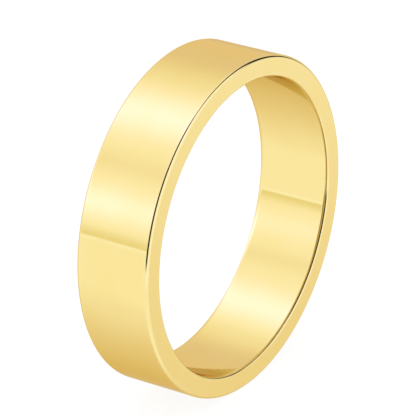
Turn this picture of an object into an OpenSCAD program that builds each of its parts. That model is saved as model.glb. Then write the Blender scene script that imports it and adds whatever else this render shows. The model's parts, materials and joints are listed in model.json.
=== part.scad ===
// Plain flat wedding band: one piece of yellow gold, turned to a flat section and polished all over.
// It stands on its edge. The origin is the centre of the finger hole, +Y runs along the hole and +Z is up.

/* [Band] */
// Diameter of the finger hole
hole_d = 18.5; // [14:0.1:24]
// Width of the band, measured along the finger
band_w = 5; // [2:0.1:10]
// Thickness of the wall, from the hole to the outside
wall_t = 1.35; // [1:0.05:2.5]

/* [Edges] */
// Radius that softens the two outer edges
outer_edge_r = 0.18; // [0.1:0.01:0.3]
// Width of the curve that eases each end of the hole, measured along the finger
ease_w = 0.29; // [0.27:0.01:0.5]
// Radius of that curve
ease_r = 0.75; // [0.6:0.01:0.9]
// Radius that softens the corner between that curve and the band's side
inner_edge_r = 0.1; // [0.05:0.01:0.12]

/* [Hidden] */
$fn = 96;
gold = [0.93, 0.79, 0.44];
hole_r = hole_d / 2;
outer_r = hole_r + wall_t;
// How far the easing curve turns from the hole's straight wall before it meets the corner
ease_angle = asin((ease_w - inner_edge_r) / (ease_r - inner_edge_r));
// How far the corner's circle stands out past the easing curve, so that they cross and don't just touch
crossing = 0.001;
// Radius from the finger's axis at which the corner ends and the flat side begins
side_r = hole_r + ease_r - (ease_r - inner_edge_r) * cos(ease_angle) - crossing;
// Where the turned mesh begins: close beside the bottom, so that the band stands steadily on its facets
seam_angle = -88.4;

// One stretch of the wall's section, from radius r1 to r2 and w wide, centred on the band's middle.
module stretch(r1, r2, w) {
    translate([r1, -w / 2]) square([r2 - r1, w]);
}

// The two round edges of radius edge_r, centred at radius r and flush with both sides of the band.
module edge_pair(r, edge_r) {
    for (side = [-1, 1])
        translate([r, side * (band_w / 2 - edge_r)]) circle(r = edge_r);
}

// The sector under one easing curve, from the end of the straight wall to the corner.
module ease_sector() {
    reach = 2 * ease_r;
    intersection() {
        circle(r = ease_r);
        polygon([[0, 0], [-reach, 0], [-reach, reach * tan(ease_angle)]]);
    }
}

// The easing curves at both ends of the hole.
module ease_pair() {
    for (side = [0, 1])
        mirror([0, side])
            translate([hole_r + ease_r, band_w / 2 - ease_w]) ease_sector();
}

// The wall's section: a flat rectangle with two round outer edges and two eased inner ones.
module section() {
    stretch(hole_r, outer_r, band_w - 2 * ease_w);
    stretch(side_r, outer_r - outer_edge_r, band_w);
    stretch(outer_r - outer_edge_r, outer_r, band_w - 2 * outer_edge_r);
    edge_pair(outer_r - outer_edge_r, outer_edge_r);
    edge_pair(side_r, inner_edge_r);
    ease_pair();
}

// The whole band: the section turned once round the finger's axis.
module band() {
    color(gold)
        rotate([90, 0, 0])
            rotate([0, 0, seam_angle])
                rotate_extrude()
                    section();
}

band();
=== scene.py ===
"""A polished gold wedding band, standing on its edge on a pale studio floor.

The band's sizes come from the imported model. The looks are here: a finely turned mesh of the same section, a
mirror-polished gold with its polishing lines, a white floor lit from below and a soft studio around it.
"""

import json
import math

import bpy
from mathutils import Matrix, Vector


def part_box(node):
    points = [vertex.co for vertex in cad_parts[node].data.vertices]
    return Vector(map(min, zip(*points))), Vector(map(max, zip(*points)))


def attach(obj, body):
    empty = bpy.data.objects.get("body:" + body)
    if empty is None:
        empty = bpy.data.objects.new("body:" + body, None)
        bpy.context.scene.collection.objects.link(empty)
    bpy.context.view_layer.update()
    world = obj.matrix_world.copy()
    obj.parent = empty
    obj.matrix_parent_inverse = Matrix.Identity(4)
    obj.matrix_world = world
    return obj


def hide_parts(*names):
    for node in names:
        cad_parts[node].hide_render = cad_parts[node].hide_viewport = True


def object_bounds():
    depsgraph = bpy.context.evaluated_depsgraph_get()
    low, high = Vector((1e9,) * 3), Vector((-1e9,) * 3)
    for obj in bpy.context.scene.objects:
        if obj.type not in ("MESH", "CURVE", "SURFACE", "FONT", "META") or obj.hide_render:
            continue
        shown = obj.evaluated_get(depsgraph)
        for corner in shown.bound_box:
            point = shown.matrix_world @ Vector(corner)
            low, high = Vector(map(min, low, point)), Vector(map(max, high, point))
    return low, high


MM = 0.001

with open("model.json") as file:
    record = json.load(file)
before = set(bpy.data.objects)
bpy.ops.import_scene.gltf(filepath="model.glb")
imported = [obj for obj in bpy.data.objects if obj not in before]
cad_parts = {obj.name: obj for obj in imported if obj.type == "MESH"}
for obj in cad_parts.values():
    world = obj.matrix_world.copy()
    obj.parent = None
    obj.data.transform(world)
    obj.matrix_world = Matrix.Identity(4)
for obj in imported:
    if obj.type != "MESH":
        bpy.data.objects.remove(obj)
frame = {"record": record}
CAD_LOW, CAD_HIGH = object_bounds()
MOUNTS = {mount["name"]: mount for mount in frame["record"]["mounts"]}

# The band's sizes. The edges repeat part.scad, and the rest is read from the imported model.
OUTER_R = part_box("band")[1].z
HALF_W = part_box("band")[1].y
HOLE_R = MOUNTS["finger_bore"]["dims"]["r_mm"] * MM
OUTER_EDGE_R = 0.18 * MM
INNER_EDGE_R = 0.1 * MM
EASE_WIDTH = 0.29 * MM
EASE_R = 0.75 * MM
FLOOR_Z = CAD_LOW.z

# How finely the visible mesh is turned.
TURNS = 720
WALL_STEPS = 10
SIDE_STEPS = 4
EDGE_STEPS = 10
EASE_STEPS = 12

# Where the camera stands, and how far the band sits from the middle of the picture.
AZIMUTH = math.radians(-56.47)
ELEVATION = math.radians(23.75)
DISTANCE = 19.25 * OUTER_R
RING_RIGHT = 0.024 * OUTER_R
RING_DOWN = 0.060 * OUTER_R
LENS_MM = 292.6
SENSOR_MM = 36


# ---------------------------------------------------------------- camera

def camera_axes():
    """The camera's backward, rightward and upward directions."""
    level = Vector((math.sin(AZIMUTH), -math.cos(AZIMUTH), 0))
    back = level * math.cos(ELEVATION) + Vector((0, 0, math.sin(ELEVATION)))
    right = Vector((math.cos(AZIMUTH), math.sin(AZIMUTH), 0))
    return back, right, back.cross(right)


def make_camera():
    back, right, up = camera_axes()
    data = bpy.data.cameras.new("camera")
    data.lens = LENS_MM
    data.sensor_width = SENSOR_MM
    data.clip_start = 0.01
    data.clip_end = 10
    camera = bpy.data.objects.new("camera", data)
    camera.location = back * DISTANCE - right * RING_RIGHT + up * RING_DOWN
    camera.rotation_euler = (-back).to_track_quat("-Z", "Y").to_euler()
    bpy.context.scene.collection.objects.link(camera)
    bpy.context.scene.camera = camera


# ---------------------------------------------------------------- mesh

def arc(y, r, radius, start, end, steps):
    """Points and outward normals, as (y, r) pairs, along an arc of the section round centre (y, r)."""
    out = []
    for i in range(steps + 1):
        angle = math.radians(start + (end - start) * i / steps)
        normal = (math.cos(angle), math.sin(angle))
        out.append(((y + radius * normal[0], r + radius * normal[1]), normal))
    return out


def bridge(outline, target, steps):
    """Adds the points between the outline's last point and target, which share one flat's normal."""
    (y0, r0), normal = outline[-1]
    (y1, r1), _ = target
    for i in range(1, steps):
        t = i / steps
        outline.append(((y0 + (y1 - y0) * t, r0 + (r1 - r0) * t), normal))


def section():
    """The wall's section as a closed outline of points and normals, in (y, r)."""
    ease_y, ease_r = HALF_W - EASE_WIDTH, HOLE_R + EASE_R
    inner_y = HALF_W - INNER_EDGE_R
    lean = math.asin((EASE_WIDTH - INNER_EDGE_R) / (EASE_R - INNER_EDGE_R))
    inner_r = ease_r - (EASE_R - INNER_EDGE_R) * math.cos(lean)
    lean = math.degrees(lean)
    outer_y, outer_r = HALF_W - OUTER_EDGE_R, OUTER_R - OUTER_EDGE_R
    corners = [
        (arc(-outer_y, outer_r, OUTER_EDGE_R, 180, 90, EDGE_STEPS), WALL_STEPS),
        (arc(outer_y, outer_r, OUTER_EDGE_R, 90, 0, EDGE_STEPS), SIDE_STEPS),
        (arc(inner_y, inner_r, INNER_EDGE_R, 0, lean - 90, EDGE_STEPS), 0),
        (arc(ease_y, ease_r, EASE_R, lean - 90, -90, EASE_STEPS)[1:], WALL_STEPS),
        (arc(-ease_y, ease_r, EASE_R, -90, -90 - lean, EASE_STEPS), 0),
        (arc(-inner_y, inner_r, INNER_EDGE_R, -90 - lean, -180, EDGE_STEPS)[1:], SIDE_STEPS),
    ]
    outline = []
    for i, (corner, flat_steps) in enumerate(corners):
        outline += corner
        bridge(outline, corners[(i + 1) % len(corners)][0][0], flat_steps)
    return outline


def turned_mesh(name, outline, turns):
    """The outline turned round the Y axis, with the section's own normals on every point."""
    points, normals, faces = [], [], []
    for i in range(turns):
        angle = 2 * math.pi * i / turns
        c, s = math.cos(angle), math.sin(angle)
        for (y, r), (ny, nr) in outline:
            points.append((r * c, y, r * s))
            normals.append((nr * c, ny, nr * s))
    count = len(outline)
    for i in range(turns):
        here, there = i * count, (i + 1) % turns * count
        for j in range(count):
            k = (j + 1) % count
            faces.append((here + j, here + k, there + k, there + j))
    mesh = bpy.data.meshes.new(name)
    mesh.from_pydata(points, [], faces)
    mesh.polygons.foreach_set("use_smooth", [True] * len(faces))
    mesh.normals_split_custom_set_from_vertices(normals)
    mesh.validate()
    return mesh


# ---------------------------------------------------------------- node helpers

def add(tree, kind, values=None, **settings):
    """A node of that kind, with its settings, and its inputs set or linked by name or index."""
    node = tree.nodes.new(kind)
    for key, value in settings.items():
        setattr(node, key, value)
    for key, value in (values or {}).items():
        if isinstance(value, bpy.types.NodeSocket):
            tree.links.new(value, node.inputs[key])
        else:
            node.inputs[key].default_value = value
    return node


def math_node(tree, operation, *values):
    node = add(tree, "ShaderNodeMath", dict(enumerate(values)), operation=operation)
    return node.outputs[0]


def dot(tree, vector, direction):
    node = add(tree, "ShaderNodeVectorMath", {0: vector, 1: direction}, operation="DOT_PRODUCT")
    return node.outputs["Value"]


def smooth(tree, value, low, high):
    """0 below low, 1 above high, and a smooth step between them."""
    node = add(
        tree, "ShaderNodeMapRange",
        {"Value": value, "From Min": low, "From Max": high, "To Min": 0.0, "To Max": 1.0},
        interpolation_type="SMOOTHSTEP",
    )
    return node.outputs[0]


def times(tree, *factors):
    product = factors[0]
    for factor in factors[1:]:
        product = math_node(tree, "MULTIPLY", product, factor)
    return product


def mix(tree, factor, a, b):
    node = add(tree, "ShaderNodeMix", {"Factor": factor}, data_type="RGBA")
    for socket, value in ((node.inputs[6], a), (node.inputs[7], b)):
        if isinstance(value, bpy.types.NodeSocket):
            tree.links.new(value, socket)
        else:
            socket.default_value = (*value, 1)
    return node.outputs[2]


# ---------------------------------------------------------------- gold

GOLD = (0.94, 0.755, 0.325)
WARM_GOLD = (0.935, 0.73, 0.285)
PALE_GOLD = (0.95, 0.785, 0.385)
GRAZING_GOLD = (1.0, 0.88, 0.55)
PER_MM = 1 / MM
WEAR_WIDTH = 0.5 * MM
LINES_PER_MM = 9
BASE_ROUGHNESS = 0.03

# Heights of the surface's marks, in millimetres.
WAVE_HEIGHT = 0.0015
LINE_HEIGHT = 0.0005
HAIR_DEPTH = 0.0004


def scaled(tree, vector, per_mm):
    """The vector times a frequency along each axis, in waves per millimetre."""
    factors = tuple(value * PER_MM for value in per_mm)
    return add(tree, "ShaderNodeVectorMath", {0: vector, 1: factors}, operation="MULTIPLY").outputs[0]


def noise(tree, vector, detail=2.0, **w):
    """Smooth noise, mostly from 0.3 to 0.7. With W given it has a fourth dimension."""
    values = {"Vector": vector, "Scale": 1.0, "Detail": detail, **w}
    return add(tree, "ShaderNodeTexNoise", values, noise_dimensions="4D" if w else "3D").outputs[0]


def polishing_lines(tree, place, radius):
    """Fine lines that run round the band, on its walls and on its sides, and fade in and out along it."""
    across = math_node(tree, "MULTIPLY", radius, LINES_PER_MM * PER_MM)
    return noise(tree, scaled(tree, place, (0.12, LINES_PER_MM, 0.12)), 3.0, W=across)


def hairlines(tree, place):
    """Sparse hairline scratches, each a few millimetres long, in two directions."""
    lines = 0.0
    for turn, tilt in ((0.5, 0.9), (2.1, 0.3)):
        turned = add(tree, "ShaderNodeMapping", {"Vector": place, "Rotation": (tilt, turn, 0)}).outputs[0]
        level = noise(tree, scaled(tree, turned, (14, 0.25, 0.25)), 0.0)
        lines = math_node(tree, "MAXIMUM", smooth(tree, level, 0.74, 0.82), lines)
    return lines


def edge_wear(tree, place, across_finger, radius):
    """How near the surface is to one of the four round edges, in uneven patches."""
    side = smooth(tree, math_node(tree, "ABSOLUTE", across_finger), HALF_W - WEAR_WIDTH, HALF_W)
    outside = smooth(tree, radius, OUTER_R - WEAR_WIDTH, OUTER_R)
    inside = smooth(tree, radius, HOLE_R + WEAR_WIDTH, HOLE_R)
    patches = smooth(tree, noise(tree, scaled(tree, place, (0.8, 0.8, 0.8))), 0.35, 0.65)
    return times(tree, side, math_node(tree, "MAXIMUM", outside, inside), patches)


def weighted(tree, *pairs):
    """The sum of each value times its weight."""
    total = 0.0
    for value, weight in pairs:
        total = math_node(tree, "MULTIPLY_ADD", value, weight, total)
    return total


def gold_material():
    """Mirror-polished 14-carat gold, with the marks of its polishing and a little wear."""
    material = bpy.data.materials.new("polished_gold")
    material.use_nodes = True
    tree = material.node_tree
    bsdf = tree.nodes["Principled BSDF"]
    place = add(tree, "ShaderNodeTexCoord").outputs["Object"]
    parts = add(tree, "ShaderNodeSeparateXYZ", {0: place}).outputs
    flat = add(tree, "ShaderNodeCombineXYZ", {0: parts["X"], 2: parts["Z"]}).outputs[0]
    radius = add(tree, "ShaderNodeVectorMath", {0: flat}, operation="LENGTH").outputs["Value"]
    lines = polishing_lines(tree, place, radius)
    hairs = hairlines(tree, place)
    wear = edge_wear(tree, place, parts["Y"], radius)
    waves = noise(tree, scaled(tree, place, (0.3, 0.3, 0.3)), 1.0)
    film = smooth(tree, noise(tree, scaled(tree, place, (0.22, 0.35, 0.22)), 3.0), 0.4, 0.75)
    colour = mix(tree, math_node(tree, "MULTIPLY", film, 0.6), GOLD, WARM_GOLD)
    colour = mix(tree, math_node(tree, "MULTIPLY", wear, 0.7), colour, PALE_GOLD)
    tree.links.new(colour, bsdf.inputs["Base Color"])
    roughness = weighted(tree, (lines, 0.05), (film, 0.02), (wear, 0.03), (hairs, 0.05))
    tree.links.new(math_node(tree, "ADD", roughness, BASE_ROUGHNESS), bsdf.inputs["Roughness"])
    height = weighted(tree, (waves, WAVE_HEIGHT), (lines, LINE_HEIGHT), (hairs, -HAIR_DEPTH))
    bump = add(tree, "ShaderNodeBump", {"Height": height, "Distance": MM, "Strength": 1.0})
    tree.links.new(bump.outputs[0], bsdf.inputs["Normal"])
    bsdf.inputs["Metallic"].default_value = 1.0
    bsdf.inputs["Specular Tint"].default_value = (*GRAZING_GOLD, 1)
    return material


def make_band():
    band = bpy.data.objects.new("polished_band", turned_mesh("polished_band", section(), TURNS))
    bpy.context.scene.collection.objects.link(band)
    band.data.materials.append(gold_material())
    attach(band, "root")
    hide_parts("band")


# ---------------------------------------------------------------- floor

FLOOR_REACH = 600 * MM
FLOOR_GREYS = (0.17, 0.17, 0.167), (0.2, 0.2, 0.198)
FLOOR_GLOW = 0.87
TOOTH_DEPTH = 0.02 * MM


def floor_material():
    """White acrylic, lit from below, with a faint grain and tooth."""
    material = bpy.data.materials.new("white_acrylic")
    material.use_nodes = True
    tree = material.node_tree
    bsdf = tree.nodes["Principled BSDF"]
    place = add(tree, "ShaderNodeTexCoord").outputs["Object"]
    grain = noise(tree, scaled(tree, place, (1.2, 3.0, 1.2)), 4.0)
    tooth = noise(tree, scaled(tree, place, (6.0, 6.0, 6.0)), 2.0)
    shade = smooth(tree, grain, 0.3, 0.7)
    tree.links.new(mix(tree, shade, *FLOOR_GREYS), bsdf.inputs["Base Color"])
    tree.links.new(math_node(tree, "MULTIPLY_ADD", tooth, 0.1, 0.85), bsdf.inputs["Roughness"])
    bump = add(tree, "ShaderNodeBump", {"Height": tooth, "Distance": TOOTH_DEPTH, "Strength": 1.0})
    tree.links.new(bump.outputs[0], bsdf.inputs["Normal"])
    bsdf.inputs["Specular IOR Level"].default_value = 0.0
    bsdf.inputs["Emission Color"].default_value = (1, 1, 1, 1)
    bsdf.inputs["Emission Strength"].default_value = FLOOR_GLOW
    return material


def make_floor():
    """A sheet of lit white acrylic. The band mirrors the studio's own pale table, and not this sheet."""
    r = FLOOR_REACH
    corners = [(-r, -r, FLOOR_Z), (r, -r, FLOOR_Z), (r, r, FLOOR_Z), (-r, r, FLOOR_Z)]
    mesh = bpy.data.meshes.new("floor")
    mesh.from_pydata(corners, [], [(0, 1, 2, 3)])
    mesh.materials.append(floor_material())
    floor = bpy.data.objects.new("floor", mesh)
    floor.visible_glossy = False
    bpy.context.scene.collection.objects.link(floor)


# ---------------------------------------------------------------- studio

WHITE_ROOM = 1.0

# Directions in the room that the gold mirrors.
CAMERA_SIDE = Vector((math.sin(AZIMUTH), -math.cos(AZIMUTH), 0))
TOWARD_BACK_RIGHT = (0.693, 0.576, -0.433)
TOWARD_LEFT = (-0.86, 0.51, 0.0)
ACROSS_OVERHEAD = (0.996, 0.0, 0.087)
GAP_AXIS = (-0.16, -0.987, 0.0)
GAP_PLACE = 0.3
TABLE_TILT = 0.126

# Its colours. A softbox's are over 1, and bluer than the gold makes them look.
# the table's colours, from its dim warm end, a painted shadow of the band with painted warm bounce light off
# the gold, to its lit part
TABLE_SHADOW_TO_LIT = [(0.71, 0.60, 0.42), (0.87, 0.80, 0.66), (1.03, 1.06, 1.06)]
TABLE_RIGHT_END = (0.82, 0.74, 0.72)
TABLE_RIM = (1.06, 1.15, 1.3)
CARD = (1.1, 1.2, 1.45)
LOW_WALL = (0.87, 0.84, 0.58)
DIM_WALL = (0.98, 0.97, 0.95)
OVERHEAD_LIGHT = (1.25, 1.30, 2.0)
STRIP_LIGHT = (1.3, 1.39, 2.26)
DARK = (0.03, 0.028, 0.02)
TWICE_MIRRORED = (0.71, 0.78, 1.2)


def ramp(tree, factor, colours):
    """A blend through the colours, evenly spaced, as the factor goes from 0 to 1."""
    node = add(tree, "ShaderNodeValToRGB", {0: factor})
    stops = node.color_ramp.elements
    while len(stops) < len(colours):
        stops.new(0.5)
    for i, colour in enumerate(colours):
        stops[i].position = i / (len(colours) - 1)
        stops[i].color = (*colour, 1)
    return node.outputs["Color"]


def bell(tree, value, centre, width):
    """A bell curve of the value, 1 at its centre."""
    off = math_node(tree, "DIVIDE", math_node(tree, "SUBTRACT", value, centre), width)
    return math_node(tree, "EXPONENT", times(tree, off, off, -1.0))


def pale_table(tree, direction, rightward, depth, height):
    """The table. It dims and warms toward the back right, a painted shadow of the band with painted warm
    light bounced off the gold, and has a pale card low at the front right.
    """
    toward_shadow = dot(tree, direction, TOWARD_BACK_RIGHT)
    out_of_shadow = add(
        tree, "ShaderNodeMapRange",
        {"Value": toward_shadow, "From Min": 1.0, "From Max": 0.05, "To Min": 0.0, "To Max": 1.0},
    ).outputs[0]
    # painted shadow: the table is dim and warm toward the back right below the band, where the band's shadow
    # and warm bounce light would fall
    table = ramp(tree, out_of_shadow, TABLE_SHADOW_TO_LIT)
    right_end = times(tree, smooth(tree, rightward, 0.45, 0.8), smooth(tree, height, -0.15, 0.0))
    table = mix(tree, right_end, table, TABLE_RIGHT_END)
    card = times(tree, smooth(tree, height, -0.47, -0.34), smooth(tree, depth, -0.1, -0.4), 0.5)
    return mix(tree, card, table, CARD)


def lit_wall(tree, table, direction, depth, height, toward_left):
    """The wall, in the table's colour, with a darker low left part, two softboxes and a dim part between."""
    low = times(tree, toward_left, smooth(tree, height, 0.09, -0.06))
    wall = mix(tree, low, table, LOW_WALL)
    # the overhead softbox is a long one, in line with the finger hole
    across = bell(tree, dot(tree, direction, ACROSS_OVERHEAD), 0.0, 0.24)
    wall = mix(tree, times(tree, across, smooth(tree, height, 0.35, 0.6)), wall, OVERHEAD_LIGHT)
    dim = times(tree, bell(tree, height, 0.62, 0.07), toward_left)
    wall = mix(tree, dim, wall, DIM_WALL)
    # the strip softbox is low at the back left
    strip = times(tree, bell(tree, height, 0.285, 0.156), smooth(tree, depth, 0.42, 0.60), toward_left)
    return mix(tree, strip, wall, STRIP_LIGHT)


def dark_gap(tree, direction, rightward, height):
    """How far a direction is inside the gap between panels that arches over the band, widest at the left."""
    across = dot(tree, direction, GAP_AXIS)
    off = math_node(tree, "ABSOLUTE", math_node(tree, "SUBTRACT", across, GAP_PLACE))
    half_width = math_node(tree, "MAXIMUM", math_node(tree, "MULTIPLY_ADD", rightward, -0.24, 0.25), 0.18)
    inside = smooth(tree, math_node(tree, "SUBTRACT", half_width, off), -0.04, 0.04)
    overhead_fade = math_node(tree, "MULTIPLY_ADD", bell(tree, rightward, 0.05, 0.15), -0.3, 1.0)
    return times(tree, inside, smooth(tree, height, -0.28, -0.12), overhead_fade)


def mirrored_room(tree):
    """What the gold mirrors: a pale table and wall, two softboxes, and a dark gap between panels."""
    once = math_node(tree, "LESS_THAN", add(tree, "ShaderNodeLightPath").outputs["Ray Depth"], 2.5)
    direction = add(tree, "ShaderNodeTexCoord").outputs["Generated"]
    parts = add(tree, "ShaderNodeSeparateXYZ", {0: direction}).outputs
    rightward, depth, height = parts["X"], parts["Y"], parts["Z"]
    toward_left = smooth(tree, dot(tree, direction, TOWARD_LEFT), 0.3, 0.8)
    table = pale_table(tree, direction, rightward, depth, height)
    wall = lit_wall(tree, table, direction, depth, height, toward_left)
    # the table ends lower on the camera's side, and its far edge catches the light at the left
    edge = dot(tree, direction, (CAMERA_SIDE.x * TABLE_TILT, CAMERA_SIDE.y * TABLE_TILT, 1.0))
    rim = times(tree, toward_left, smooth(tree, edge, -0.05, -0.004))
    table = mix(tree, rim, table, TABLE_RIM)
    room = mix(tree, smooth(tree, edge, -0.004, 0.004), table, wall)
    # the gap shows only where the gold mirrors the room once
    room = mix(tree, times(tree, dark_gap(tree, direction, rightward, height), once), room, DARK)
    # light that the gold mirrors twice comes from close by, where the band shades its own surroundings
    shaded = add(tree, "ShaderNodeMix", {"Factor": 1.0}, data_type="RGBA", blend_type="MULTIPLY")
    tree.links.new(room, shaded.inputs[6])
    tree.links.new(mix(tree, once, TWICE_MIRRORED, (1, 1, 1)), shaded.inputs[7])
    return shaded.outputs[2]


def make_studio():
    world = bpy.data.worlds.new("studio")
    bpy.context.scene.world = world
    world.use_nodes = True
    tree = world.node_tree
    tree.nodes.clear()
    mirrored = add(tree, "ShaderNodeBackground", {"Color": mirrored_room(tree), "Strength": 1.0})
    white = add(tree, "ShaderNodeBackground", {"Color": (1, 1, 1, 1), "Strength": WHITE_ROOM})
    in_gold = add(tree, "ShaderNodeLightPath").outputs["Is Glossy Ray"]
    both = add(tree, "ShaderNodeMixShader", {0: in_gold, 1: white.outputs[0], 2: mirrored.outputs[0]})
    add(tree, "ShaderNodeOutputWorld", {"Surface": both.outputs[0]})
    bpy.context.scene.view_settings.view_transform = "Standard"


# ---------------------------------------------------------------- the scene

make_camera()
make_band()
make_floor()
make_studio()
